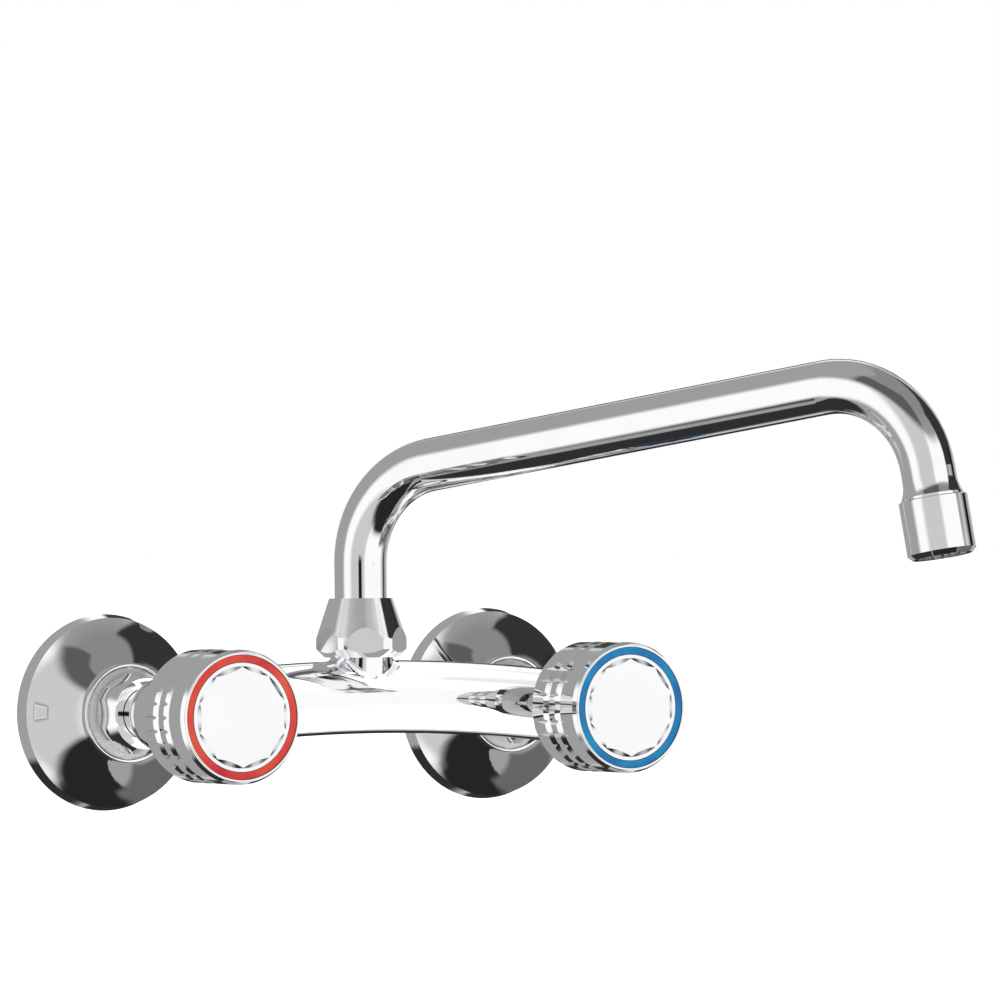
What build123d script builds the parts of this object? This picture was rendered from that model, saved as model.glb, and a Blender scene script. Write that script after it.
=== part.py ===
from build123d import *
import os
from math import cos, radians, sin, tan

# Wall-mounted two-handle sink mixer with a swivel tube spout. Millimetres and degrees.
# Frame: the wall is the plane Y = 0, the mixer stands out of it towards -Y, +Z is up and the
# origin lies midway between the two inlets. Each valve's pieces are turned about the line
# through their inlet, with heights measured as distance from the wall.

# Overall sizes
inlet_spacing = 150.0
body_distance = 45.5        # wall to the cross tube's axis, and to the spout's axis
body_radius = 12.5
body_bore = 8.0
body_arch = 4.4             # how far the middle of the cross tube stands above its ends
housing_blend = 2.0         # casting radius between the cross tube and each valve housing
boss_blend = 3.0            # casting radius between the cross tube and the spout boss

# Inlets, with G1/2 pipe threads drawn as plain cylinders of the thread's outer radius
pipe_thread_radius = 10.478
thread_clearance = 0.1
thread_relief = 0.478       # plain shafts inside the thread's outer radius
wall_thread_length = 15.0
inlet_bore = 6.0
union_shaft_radius = pipe_thread_radius - thread_relief
union_flats = 2 * union_shaft_radius
union_flats_length = 5.0
union_length = 25.2         # wall to the union's front end
union_thread_length = 6.0
washer_thickness = 1.8
washer_bore = 6.7
washer_setback = 0.4        # washer's edge inside the thread
tail_flange_radius = pipe_thread_radius - washer_setback
tail_flange_thickness = 1.4
neck_radius = 8.7
neck_clearance = 0.2
nut_wall = 2.522            # thread to the nut's flats
nut_corner_reach = 0.8      # turned corners outside the flats
nut_flats = 2 * (pipe_thread_radius + nut_wall)
nut_corner_radius = nut_flats / 2 + nut_corner_reach
nut_back = 19.8             # wall to the union nut's back face
nut_lip = 2.1
nut_front_inset = 1.0
nut_front_radius = nut_flats / 2 - nut_front_inset
nut_front_slope = 3.5
nut_chamfer = 0.9

# Escutcheons
escutcheon_radius = 33.5
escutcheon_rim = 4.8
escutcheon_rim_taper = 1.2
escutcheon_wall = 1.0
collar_wall = 1.6
collar_room = 1.7           # nut's corners inside the collar
collar_radius = nut_corner_radius + collar_room + collar_wall
collar_height = 2.2
escutcheon_height = 19.0
escutcheon_dish = 1.5       # how far the flare is hollowed below a straight cone
escutcheon_inset = 0.8      # inner face's share of the wall at the middle of the flare
grommet_thickness = 3.0
grommet_clearance = 0.1

# Valve housings, seats and bonnets
housing_wall = 2.322        # outside the bonnet's thread
housing_radius = pipe_thread_radius + housing_wall
housing_length = 60.0       # wall to the housing's front face
neck_fillet = 3.0
housing_edge = 0.5
seat_height = 41.5          # wall to the sealing face
seat_rim = 1.5
seat_outer = 8.0
seat_bore = 5.5
chamber_radius = 10.0
valve_travel = 5.0
chamber_headroom = 0.5      # over the piston's skirt when the valve is fully open
thread_lead = 2.0           # piston travel for one turn of the knob
bonnet_seal_thickness = 0.8
bonnet_lip = 1.222          # collar outside the bonnet's thread
bonnet_collar_radius = pipe_thread_radius + bonnet_lip
bonnet_collar_length = 5.4
bonnet_flats = 21.0
bonnet_flats_length = 5.8
bonnet_neck_length = 7.0

# Spindles, pistons and their seals
spindle_radius = 4.0
spindle_thread_step = 0.5
spindle_thread_radius = spindle_radius + spindle_thread_step
spindle_thread_length = 9.2
spindle_collar_reach = 2.2
spindle_collar_radius = spindle_radius + spindle_collar_reach
spindle_collar_thickness = 2.0
spindle_spline_length = 6.8
spline_teeth = 20
spline_depth = 0.35
spline_setback = 0.8
spindle_hole_reach = 3.0    # screw hole's depth beyond the splines
running_clearance = 0.08
bonnet_neck_wall = 3.4
bonnet_neck_radius = spindle_radius + bonnet_neck_wall
guide_wall = 2.4            # piston's stem outside the spindle's thread
bonnet_guide_radius = spindle_thread_radius + guide_wall
guide_flat_wall = 1.1       # the stem's anti-turn flats outside the spindle's thread
guide_flat = spindle_thread_radius + guide_flat_wall
o_ring_section = 0.95
o_ring_pitch = 4.0
o_ring_setback = 1.0        # middle of the pair behind the bonnet's hexagon front
groove_share = 0.65         # half of an O-ring groove's width over the ring's section
circlip_thickness = 0.7
circlip_reach = 1.6
circlip_groove = 0.6
circlip_mouth = 4.0
end_play = 0.15
skirt_step = 0.9
piston_skirt_radius = bonnet_guide_radius + skirt_step
well_gap = 0.2              # spindle's end over the piston's well when open
guide_gap = 0.3             # piston's end below the bonnet's guide when open
piston_skirt_length = 3.0
washer_cup_wall = 0.8
seat_washer_radius = piston_skirt_radius - washer_cup_wall
seat_washer_thickness = 3.0
seat_gap = 0.02
small_screw_radius = 2.0
screw_clearance = 0.06
screw_head_radius = 3.6
screw_head_height = 1.9
screw_slot_width = 0.9
screw_slot_depth = 0.8

# Knobs
knob_radius = 22.3
knob_back = 70.5            # wall to the knob's back edge
knob_length = 28.0
knob_wall = 2.6
knob_rim_round = 1.7
knob_rim_width = 1.6
knob_line = 0.25            # depth of the fine line turned beside the rim
groove_width = 3.8
groove_depth = 1.2
groove_places = (9.0, 16.4)
flute_count = 30
flute_length = 18.8
flute_depth = 0.9
flute_start = 2.0
flute_half_angle = 50.0
knob_web = 3.5
web_gap = 0.6               # spindle's end to the knob's web
knob_hub_wall = 2.8
knob_hub_radius = spindle_radius + knob_hub_wall
knob_gap = 0.7              # round the bonnet's collar and inside the insert
insert_plate = 2.0
insert_wall = 1.6
insert_web = 3.4
insert_setback = 0.4        # insert's plate and hub inside their mouths
insert_relief = 1.0         # how far the insert widens behind its mouth
index_width = 2.7
index_depth = 3.1
index_recess = 0.4
index_ledge = 1.5
ledge_thickness = 0.8
cap_clearance = 0.05
cap_rim = 1.15
cap_raise = 0.5
cap_scallops = 10
scallop_depth = 0.5
cap_skirt_depth = 2.4
cap_skirt_wall = 1.2
cap_taper = 0.2             # crown's top edge inside its foot
cap_lift = 0.1              # cap's rim above the coloured ring

# Spout nut and swivel
tube_radius = 9.0
tube_wall = 1.0
swivel_step = 1.4           # swivel thread outside the tube
swivel_thread_radius = tube_radius + swivel_step
swivel_thread_wall = 2.2
boss_lip = 0.3              # boss outside the swivel thread
boss_radius = swivel_thread_radius + boss_lip
boss_step = 13.4            # inlet axis up to the step in the boss's bore
boss_top = 26.6
boss_gap = 0.2              # boss's shoulder below the spout nut
flange_gap = 0.1            # spigot's flange above the boss
flange_room = 0.2           # spigot's flange inside the swivel thread
spigot_radius = swivel_thread_radius - swivel_thread_wall
spigot_wall = 2.4
spigot_bore = spigot_radius - spigot_wall
spigot_flange_radius = swivel_thread_radius - flange_room
spigot_flange = 2.4
spigot_sleeve = 7.0
spigot_bottom_gap = 0.3
spout_o_ring_section = 1.6
spout_o_ring_pitch = 4.4
retaining_ring_thickness = 2.0
retaining_ring_slot = 2.5
spout_nut_wall = 3.85       # swivel thread to the nut's flats
spout_nut_flats = 2 * (swivel_thread_radius + spout_nut_wall)
spout_nut_turn = 6.4
spout_nut_corner_reach = 1.25
spout_nut_radius = spout_nut_flats / 2 + spout_nut_corner_reach
spout_nut_base_inset = 2.8
spout_nut_base_radius = spout_nut_radius - spout_nut_base_inset
spout_nut_lip = 1.7         # nut's top round the tube
spout_nut_top_radius = tube_radius + neck_clearance + spout_nut_lip
spout_nut_bottom = 18.0
spout_nut_bevel = 2.8
spout_nut_shoulder = 3.6
spout_nut_knuckle = 2.5     # rounding between the shoulder and the cone
spout_nut_height = 20.1

# Spout tube
spout_swing = 28.0          # rest position, from straight out towards +X
bend_radius = 33.5
bend_start = 50.0           # height where the riser starts to bend
spout_slope = 8.6
spout_run = 154.0
outlet_lean = 10.0
outlet_tail = 3.0

# Outlet and aerator
flare_step = 1.2
flare_radius = tube_radius + flare_step
flare_waist = 0.3           # share of the flare's width reached at its waist
flare_waist_place = 0.6     # share of the flare's length at its waist
flare_length = 5.6
flare_land = 0.9            # bright neck between the flare and the housing
nipple_thread = 7.0
nipple_sleeve = outlet_tail - neck_clearance
nipple_wall = 1.2           # sleeve inside the tube
aerator_wall = 1.15         # housing outside the nipple's thread
aerator_radius = flare_radius + aerator_wall
aerator_length = 19.2
bore_step = 0.3             # housing's bore inside its thread
aerator_bore = flare_radius - bore_step
aerator_chamfer = 1.6
aerator_edge = 0.3
aerator_lip = 2.5
mouth_step = 1.0
aerator_mouth = aerator_bore - mouth_step
seal_thickness = 1.6
seal_overhang = 1.0         # seal inside the nipple's bore
insert_top = 1.5
insert_skirt = 1.4
jet_ring = 0.55             # share of the insert's radius where its jets stand
insert_jets = 8
jet_radius = 0.9
screen_thickness = 0.6
screen_hole = 0.55
screen_pitch = 1.6


def turned(*corners):
    # Solid turned about +Z from the (radius, height) corners of its half section.
    section = make_face(Polyline(*[(radius, 0, height) for radius, height in corners], close=True))
    return revolve(section, Axis.Z)


def ring(inner, outer, low, high):
    return turned((inner, low), (outer, low), (outer, high), (inner, high))


def hexagon(flats, low, high, turn=0.0):
    outline = Rot(0, 0, turn) * RegularPolygon(flats / 2, 6, major_radius=False)
    return extrude(Pos(0, 0, low) * outline, high - low)


def torus_ring(middle_radius, section_radius, height):
    return Pos(0, 0, height) * Torus(middle_radius, section_radius)


def circle_edges(solid, radius, height):
    circles = solid.edges().filter_by(GeomType.CIRCLE)
    level = circles.filter_by(lambda edge: abs(edge.arc_center.Z - height) < 0.01)
    return level.filter_by(lambda edge: abs(edge.radius - radius) < 0.01)


def splined(radius, low, high):
    # Toothed bar with straight-sided teeth, narrowing from root to tip.
    points = []
    for tooth in range(spline_teeth):
        for share, reach in ((0.0, 0.0), (0.25, 0.0), (0.5, spline_depth), (0.75, spline_depth)):
            angle = radians(360.0 * (tooth + share) / spline_teeth)
            points.append(((radius + reach) * cos(angle), (radius + reach) * sin(angle)))
    outline = make_face(Polyline(*points, close=True))
    return extrude(Pos(0, 0, low) * outline, high - low)


# Heights along a valve's axis that several pieces share
tail_back = union_length + washer_thickness
nut_front = tail_back + tail_flange_thickness + nut_lip
chamber_floor = seat_height - seat_rim
washer_face = seat_height + seat_gap
piston_base = washer_face + seat_washer_thickness
skirt_low = piston_base - seat_washer_thickness / 2
skirt_high = skirt_low + piston_skirt_length
bonnet_low = skirt_high + valve_travel + chamber_headroom
flange_low = housing_length + bonnet_seal_thickness
collar_front = flange_low + bonnet_collar_length
hex_front = collar_front + bonnet_flats_length
bonnet_front = hex_front + bonnet_neck_length
guide_top = flange_low
spindle_low = guide_top - spindle_thread_length
piston_well = spindle_low - valve_travel - well_gap
piston_top = guide_top - valve_travel - guide_gap
spindle_shaft_low = guide_top + spindle_collar_thickness + end_play
circlip_low = bonnet_front + end_play
spline_low = circlip_low + circlip_thickness + spline_setback
spindle_front = spline_low + spindle_spline_length
knob_front = knob_back + knob_length
web_back = spindle_front + web_gap
web_front = web_back + knob_web
index_outer = knob_radius - knob_rim_width
index_inner = index_outer - index_width
index_front = knob_front - index_recess
index_back = index_front - index_depth


# Inlet pieces

def wall_union():
    threads = ring(inlet_bore, pipe_thread_radius, -wall_thread_length, 0)
    flats = hexagon(union_flats, 0, union_flats_length)
    flats -= Cylinder(inlet_bore, 2 * union_flats_length)
    shaft = ring(inlet_bore, union_shaft_radius, union_flats_length, union_length - union_thread_length)
    front = ring(inlet_bore, pipe_thread_radius, union_length - union_thread_length, union_length)
    return threads + flats + shaft + front


def inlet_washer():
    return ring(washer_bore, pipe_thread_radius - washer_setback, union_length, tail_back)


def union_nut():
    slope_start = nut_front - nut_front_slope
    blank = turned(
        (0, nut_back),
        (nut_corner_radius - nut_chamfer, nut_back),
        (nut_corner_radius, nut_back + nut_chamfer),
        (nut_corner_radius, slope_start),
        (nut_front_radius, nut_front),
        (0, nut_front),
    )
    blank &= hexagon(nut_flats, nut_back, nut_front, 30)
    bore = ring(0, pipe_thread_radius + thread_clearance, nut_back, nut_front - nut_lip)
    return blank - bore - ring(0, neck_radius + neck_clearance, nut_back, nut_front)


def escutcheon():
    rim_radius = escutcheon_radius - escutcheon_rim_taper
    lip_height = escutcheon_height - collar_wall / 2
    collar_base = lip_height - collar_height
    middle = (rim_radius + collar_radius) / 2
    middle_height = (escutcheon_rim + collar_base) / 2 - escutcheon_dish
    inner_collar = collar_radius - collar_wall
    inner_middle = middle - escutcheon_wall * escutcheon_inset
    inner_middle_height = middle_height - escutcheon_wall
    outline = [
        Line((escutcheon_radius, 0, 0), (rim_radius, 0, escutcheon_rim)),
        ThreePointArc(
            (rim_radius, 0, escutcheon_rim),
            (middle, 0, middle_height),
            (collar_radius, 0, collar_base),
        ),
        Line((collar_radius, 0, collar_base), (collar_radius, 0, lip_height)),
        ThreePointArc(
            (collar_radius, 0, lip_height),
            (collar_radius - collar_wall / 2, 0, escutcheon_height),
            (inner_collar, 0, lip_height),
        ),
        Line((inner_collar, 0, lip_height), (inner_collar, 0, collar_base)),
        ThreePointArc(
            (inner_collar, 0, collar_base),
            (inner_middle, 0, inner_middle_height),
            (rim_radius - escutcheon_wall, 0, escutcheon_rim - escutcheon_wall),
        ),
        Line(
            (rim_radius - escutcheon_wall, 0, escutcheon_rim - escutcheon_wall),
            (escutcheon_radius - escutcheon_wall, 0, 0),
        ),
        Line((escutcheon_radius - escutcheon_wall, 0, 0), (escutcheon_radius, 0, 0)),
    ]
    return revolve(make_face(outline), Axis.Z)


def escutcheon_grommet():
    front = escutcheon_height - collar_wall / 2
    outer = collar_radius - collar_wall - grommet_clearance
    return ring(union_shaft_radius, outer, front - grommet_thickness, front)


# Valve pieces

def bonnet():
    blank = turned(
        (0, bonnet_low),
        (pipe_thread_radius, bonnet_low),
        (pipe_thread_radius, flange_low),
        (bonnet_collar_radius, flange_low),
        (bonnet_collar_radius, collar_front),
        (0, collar_front),
    )
    grip = hexagon(bonnet_flats, collar_front, hex_front)
    grip &= Pos(0, 0, collar_front) * Cylinder(bonnet_collar_radius, 2 * bonnet_flats_length)
    neck = ring(0, bonnet_neck_radius, hex_front, bonnet_front)
    guide = ring(0, bonnet_guide_radius, 0, guide_top)
    guide &= Box(4 * guide_flat, 2 * (guide_flat + running_clearance), 2 * guide_top)
    collar_room = ring(0, spindle_collar_radius + running_clearance, guide_top, spindle_shaft_low)
    shaft_hole = Cylinder(spindle_radius + running_clearance, 3 * bonnet_front)
    return blank + grip + neck - guide - collar_room - shaft_hole


def bonnet_seal():
    return ring(pipe_thread_radius + thread_clearance, bonnet_collar_radius, housing_length, flange_low)


def o_ring_places(middle):
    return (middle - o_ring_pitch / 2, middle + o_ring_pitch / 2)


def spindle():
    thread = ring(0, spindle_thread_radius, spindle_low, guide_top)
    collar = ring(0, spindle_collar_radius, guide_top, guide_top + spindle_collar_thickness)
    shaft = ring(0, spindle_radius, guide_top, spline_low)
    blank = thread + collar + shaft
    groove_floor = spindle_radius - o_ring_section
    half = o_ring_section * groove_share
    for place in o_ring_places(hex_front - o_ring_setback):
        blank -= ring(groove_floor, 2 * spindle_radius, place - half, place + half)
    blank -= ring(
        spindle_radius - circlip_groove,
        2 * spindle_radius,
        circlip_low,
        circlip_low + circlip_thickness,
    )
    blank += splined(spindle_radius - 2 * spline_depth, spline_low, spindle_front)
    hole_low = spline_low - spindle_hole_reach
    return blank - ring(0, small_screw_radius + screw_clearance, hole_low, spindle_front)


def spindle_o_rings():
    section = (o_ring_section + running_clearance / 2) / 2
    middle = spindle_radius - o_ring_section + section
    return [torus_ring(middle, section, place) for place in o_ring_places(hex_front - o_ring_setback)]


def spindle_circlip():
    outer = spindle_radius + circlip_reach
    clip = ring(spindle_radius - circlip_groove, outer, circlip_low, circlip_low + circlip_thickness)
    return clip - Pos(0, outer, circlip_low) * Box(circlip_mouth, 2 * outer, 4 * circlip_thickness)


def piston():
    stem = ring(0, bonnet_guide_radius - running_clearance, 0, piston_top)
    stem &= Pos(0, 0, piston_top) * Box(4 * guide_flat, 2 * guide_flat, 2 * (piston_top - skirt_high))
    skirt = ring(0, piston_skirt_radius, skirt_low, skirt_high)
    cup = ring(0, seat_washer_radius + thread_clearance, skirt_low, piston_base)
    well = ring(0, spindle_thread_radius + running_clearance, piston_well, piston_top)
    hole = ring(0, small_screw_radius + screw_clearance, skirt_low, piston_well)
    return stem + skirt - cup - well - hole


def seat_washer():
    return ring(small_screw_radius + screw_clearance, seat_washer_radius, washer_face, piston_base)


def screw_slot(height):
    return Pos(0, 0, height) * Box(3 * screw_head_radius, screw_slot_width, 2 * screw_slot_depth)


def washer_screw():
    head = ring(0, screw_head_radius, washer_face - screw_head_height, washer_face)
    shank = ring(0, small_screw_radius, washer_face, piston_well - well_gap)
    return head + shank - screw_slot(washer_face - screw_head_height)


# Knob pieces

def knob_flank():
    # Plain cylinder with the turned V grooves and the bright rim.
    rim_radius = knob_radius - knob_rim_width / 2
    corners = [(0, knob_back), (knob_radius, knob_back)]
    for place in groove_places:
        middle = knob_back + place
        corners.append((knob_radius, middle - groove_width / 2))
        corners.append((knob_radius - groove_depth, middle))
        corners.append((knob_radius, middle + groove_width / 2))
    corners.append((knob_radius, knob_front - knob_rim_round))
    corners.append((rim_radius, knob_front - knob_line))
    corners.append((rim_radius - knob_line, knob_front - 2 * knob_line))
    corners.append((rim_radius - 2 * knob_line, knob_front))
    corners.append((0, knob_front))
    return turned(*corners)


def flute_cutter():
    # V-edged wheel whose edge dips into the flank and leaves a lens-shaped flute.
    wheel_radius = flute_length**2 / (8 * flute_depth)
    cheek = 3 * flute_depth
    half_width = cheek * tan(radians(flute_half_angle))
    section = make_face(
        Polyline(
            (wheel_radius, 0, 0),
            (wheel_radius - cheek, half_width, 0),
            (wheel_radius - cheek, -half_width, 0),
            close=True,
        )
    )
    wheel = revolve(section, Axis.Y)
    middle = knob_back + flute_start + flute_length / 2
    reach = Box(3 * cheek, 3 * half_width, 2 * flute_length)
    cutter = Pos(knob_radius - flute_depth + wheel_radius, 0, middle) * wheel
    return cutter & Pos(knob_radius, 0, middle) * reach


def knob():
    shell = knob_flank()
    cutter = flute_cutter()
    shell -= [Rot(0, 0, 360.0 * flute / flute_count) * cutter for flute in range(flute_count)]
    inner = knob_radius - knob_wall
    shell -= ring(0, inner, knob_back, web_back)
    shell -= ring(0, index_outer, index_back, knob_front)
    shell -= ring(0, index_inner - index_ledge, web_front, index_back)
    return shell - ring(0, small_screw_radius + neck_clearance, web_back, web_front)


def knob_insert():
    # Plastic core pressed in from behind: back plate, sleeve and splined hub.
    outer = knob_radius - knob_wall - cap_clearance
    mouth = bonnet_collar_radius + knob_gap
    room = mouth + insert_relief
    low = knob_back + insert_setback
    hub_low = spline_low + insert_setback
    blank = turned(
        (mouth, low),
        (outer, low),
        (outer, low + insert_plate),
        (room + insert_wall, low + insert_plate),
        (room + insert_wall, web_back),
        (0, web_back),
        (0, hub_low),
        (knob_hub_radius, hub_low),
        (knob_hub_radius, web_back - insert_web),
        (room, web_back - insert_web),
        (room, low + insert_plate),
        (mouth, low + insert_plate),
    )
    return blank - splined(spindle_radius - 2 * spline_depth + screw_clearance, hub_low, web_back)


def index_ring():
    band = ring(index_inner, index_outer, index_back, index_front)
    ledge = ring(index_inner - index_ledge, index_inner, index_back, index_back + ledge_thickness)
    return band + ledge


def scalloped(radius, depth, height):
    # Outline of equal arcs between evenly spaced cusps, hollowed by depth at their middles.
    outline = []
    step = radians(360.0 / cap_scallops)
    for scallop in range(cap_scallops):
        start = (scallop + 0.5) * step
        middle_radius = radius * cos(step / 2) - depth
        points = (
            (radius * cos(start), radius * sin(start)),
            (middle_radius * cos(start + step / 2), middle_radius * sin(start + step / 2)),
            (radius * cos(start + step), radius * sin(start + step)),
        )
        outline.append(ThreePointArc(*points))
    return Pos(0, 0, height) * make_face(outline)


def knob_cap():
    outer = index_inner - cap_clearance
    top_radius = outer - cap_rim
    plate_top = index_front + cap_lift
    plate = ring(0, outer, index_back + ledge_thickness, plate_top)
    flat_depth = top_radius * (cos(radians(180.0 / cap_scallops)) - 1)
    low_outline = scalloped(top_radius, flat_depth, plate_top)
    high_outline = scalloped(top_radius - cap_taper, scallop_depth, plate_top + cap_raise)
    crown = loft([low_outline, high_outline], ruled=True)
    skirt_outer = index_inner - index_ledge - cap_clearance
    plate_bottom = index_back + ledge_thickness
    skirt = ring(skirt_outer - cap_skirt_wall, skirt_outer, plate_bottom - cap_skirt_depth, plate_bottom)
    return plate + crown + skirt


def knob_screw():
    head = ring(0, screw_head_radius, web_front, web_front + screw_head_height)
    shank = ring(0, small_screw_radius, spline_low, web_front)
    return head + shank - screw_slot(web_front + screw_head_height)


# Body

def arched_bar(radius):
    half = inlet_spacing / 2
    ends = [Vector(side * half, -body_distance, 0) for side in (-1, 1)]
    path = ThreePointArc(ends[0], Vector(0, -body_distance, body_arch), ends[1])
    start = Plane(origin=path @ 0, x_dir=(0, 0, -1), z_dir=path % 0)
    return sweep(start * Circle(radius), path=path)


def housing():
    # Inlet tail, neck, rounded back and barrel of one valve.
    shoulder = body_distance - (housing_radius**2 - neck_radius**2) ** 0.5
    round_back = Pos(0, 0, body_distance) * Sphere(housing_radius)
    barrel = ring(0, housing_radius, body_distance, housing_length)
    neck = ring(0, neck_radius, tail_back, body_distance)
    blank = round_back + barrel + neck
    blank = fillet(circle_edges(blank, neck_radius, shoulder), neck_fillet)
    blank = chamfer(circle_edges(blank, housing_radius, housing_length), housing_edge)
    flange = ring(0, tail_flange_radius, tail_back, tail_back + tail_flange_thickness)
    return blank + flange


def housing_bores():
    inlet = ring(0, seat_bore, tail_back, seat_height)
    moat = ring(seat_outer, chamber_radius, chamber_floor, seat_height)
    chamber = ring(0, chamber_radius, seat_height, bonnet_low)
    threads = ring(0, pipe_thread_radius + thread_clearance, bonnet_low - chamber_headroom, housing_length)
    return [inlet, moat, chamber, threads]


def boss():
    return ring(0, boss_radius, body_arch, spout_nut_bottom - boss_gap)


def swivel_thread():
    return ring(0, swivel_thread_radius, body_arch, boss_top)


def boss_bores():
    upper = ring(0, spigot_radius + running_clearance, boss_step, boss_top)
    return [upper, ring(0, spigot_bore, body_arch, boss_step)]


def valve_place(side):
    return Pos(side * inlet_spacing / 2, 0, 0) * Rot(90, 0, 0)


spout_place = Pos(0, -body_distance, 0)


def seams(solid, reach):
    # Curved edges that lie wholly within reach of the middle plane.
    curved = solid.edges().filter_by(GeomType.BSPLINE)
    boxes = [(edge, edge.bounding_box()) for edge in curved]
    return [edge for edge, box in boxes if max(-box.min.X, box.max.X) < reach]


def body():
    blank = arched_bar(body_radius)
    blank += [valve_place(side) * housing() for side in (-1, 1)]
    blank = fillet(seams(blank, inlet_spacing / 2), housing_blend)
    blank += spout_place * boss()
    blank = fillet(seams(blank, boss_radius + boss_blend), boss_blend)
    blank += spout_place * swivel_thread()
    passage_length = inlet_spacing - 2 * seat_outer
    room = Pos(0, -body_distance, 0) * Box(passage_length, 4 * body_bore, 4 * body_bore)
    cuts = [arched_bar(body_bore) & room]
    cuts += [spout_place * bore for bore in boss_bores()]
    for side in (-1, 1):
        cuts += [valve_place(side) * bore for bore in housing_bores()]
    for cut in cuts:
        blank -= cut
    return blank


# Swivel and spout pieces, with heights above the inlet axes
flange_bottom = boss_top + flange_gap
flange_top = flange_bottom + spigot_flange
ring_top = flange_top + retaining_ring_thickness
spout_nut_top = spout_nut_bottom + spout_nut_height


def spout_nut():
    shoulder_top = spout_nut_bottom + spout_nut_bevel + spout_nut_shoulder
    blank = turned(
        (0, spout_nut_bottom),
        (spout_nut_base_radius, spout_nut_bottom),
        (spout_nut_radius, spout_nut_bottom + spout_nut_bevel),
        (spout_nut_radius, shoulder_top),
        (spout_nut_top_radius, spout_nut_top),
        (0, spout_nut_top),
    )
    blank = fillet(circle_edges(blank, spout_nut_radius, shoulder_top), spout_nut_knuckle)
    blank &= hexagon(spout_nut_flats, spout_nut_bottom, spout_nut_top, spout_nut_turn + 30)
    threads = ring(0, swivel_thread_radius + thread_clearance, spout_nut_bottom, boss_top)
    room = ring(0, swivel_thread_radius, boss_top, ring_top + end_play)
    hole = ring(0, tube_radius + neck_clearance, spout_nut_bottom, spout_nut_top)
    return blank - threads - room - hole


def spout_o_ring_places():
    middle = (boss_step + boss_top) / 2
    return (middle - spout_o_ring_pitch / 2, middle + spout_o_ring_pitch / 2)


def spout_spigot():
    bottom = boss_step + spigot_bottom_gap
    plug = ring(spigot_bore, spigot_radius, bottom, flange_bottom)
    flange = ring(spigot_bore, spigot_flange_radius, flange_bottom, flange_top)
    sleeve = ring(spigot_bore, tube_radius - tube_wall, flange_top, flange_top + spigot_sleeve)
    blank = plug + flange + sleeve
    half = spout_o_ring_section * groove_share
    groove_floor = spigot_radius - spout_o_ring_section
    for place in spout_o_ring_places():
        blank -= ring(groove_floor, 2 * spigot_radius, place - half, place + half)
    return blank


def spout_o_rings():
    section = (spout_o_ring_section + running_clearance / 2) / 2
    middle = spigot_radius - spout_o_ring_section + section
    return [torus_ring(middle, section, place) for place in spout_o_ring_places()]


def retaining_ring():
    clip = ring(tube_radius, spigot_flange_radius, flange_top, ring_top)
    slot = Box(retaining_ring_slot, spigot_flange_radius, 4 * retaining_ring_thickness)
    return clip - Pos(0, spigot_flange_radius, ring_top) * slot


def spout_path():
    # Centre line in the XZ plane: riser, sloping run and leaning outlet, joined by round bends.
    first_turn = radians(90 - spout_slope)
    second_turn = radians(90 + spout_slope - outlet_lean)
    first_setback = bend_radius * tan(first_turn / 2)
    second_setback = bend_radius * tan(second_turn / 2)
    run = first_setback + spout_run + second_setback
    first_corner = Vector(0, 0, bend_start + first_setback)
    slope = radians(spout_slope)
    second_corner = first_corner + Vector(cos(slope), 0, sin(slope)) * run
    lean = radians(outlet_lean)
    end = second_corner + Vector(sin(lean), 0, -cos(lean)) * (second_setback + outlet_tail)
    start = Vector(0, 0, flange_top)
    return FilletPolyline(start, first_corner, second_corner, end, radius=bend_radius)


def spout_tube():
    path = spout_path()
    start = Plane(origin=path @ 0, z_dir=path % 0)
    outside = sweep(start * Circle(tube_radius), path=path)
    return outside - sweep(start * Circle(tube_radius - tube_wall), path=path)


# Outlet pieces, with heights measured past the tube's end
housing_start = flare_length + flare_land
nipple_end = housing_start + nipple_thread
insert_start = nipple_end + seal_thickness
housing_end = housing_start + aerator_length
insert_end = housing_end - aerator_lip


def outlet_nipple():
    bore = tube_radius - tube_wall - nipple_wall
    sleeve = ring(bore, tube_radius - tube_wall, -nipple_sleeve, 0)
    waist_radius = tube_radius + (flare_radius - tube_radius) * flare_waist
    waist = Vector(waist_radius, 0, flare_length * flare_waist_place)
    brim = Vector(flare_radius, 0, flare_length)
    flare = [
        Line((bore, 0, 0), (tube_radius, 0, 0)),
        ThreePointArc((tube_radius, 0, 0), waist, brim),
        Line(brim, (flare_radius, 0, nipple_end)),
        Line((flare_radius, 0, nipple_end), (bore, 0, nipple_end)),
        Line((bore, 0, nipple_end), (bore, 0, 0)),
    ]
    return sleeve + revolve(make_face(flare), Axis.Z)


def aerator_housing():
    thread_bore = flare_radius + thread_clearance
    blank = ring(aerator_mouth, aerator_radius, housing_start, housing_end)
    blank = chamfer(circle_edges(blank, aerator_radius, housing_end), aerator_chamfer)
    blank = chamfer(circle_edges(blank, aerator_radius, housing_start), aerator_edge)
    blank -= ring(0, thread_bore, housing_start, nipple_end + seal_thickness / 2)
    return blank - ring(0, aerator_bore, housing_start, insert_end)


def aerator_seal():
    bore = tube_radius - tube_wall - seal_overhang
    return ring(bore, aerator_bore - cap_clearance, nipple_end, insert_start)


def aerator_insert():
    outer = aerator_bore - cap_clearance
    cup = ring(0, outer, insert_start, insert_end - screen_thickness)
    cup -= ring(0, outer - insert_skirt, insert_start + insert_top, insert_end)
    jets = PolarLocations(outer * jet_ring, insert_jets) * Cylinder(jet_radius, 4 * insert_end)
    return cup - jets


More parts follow.
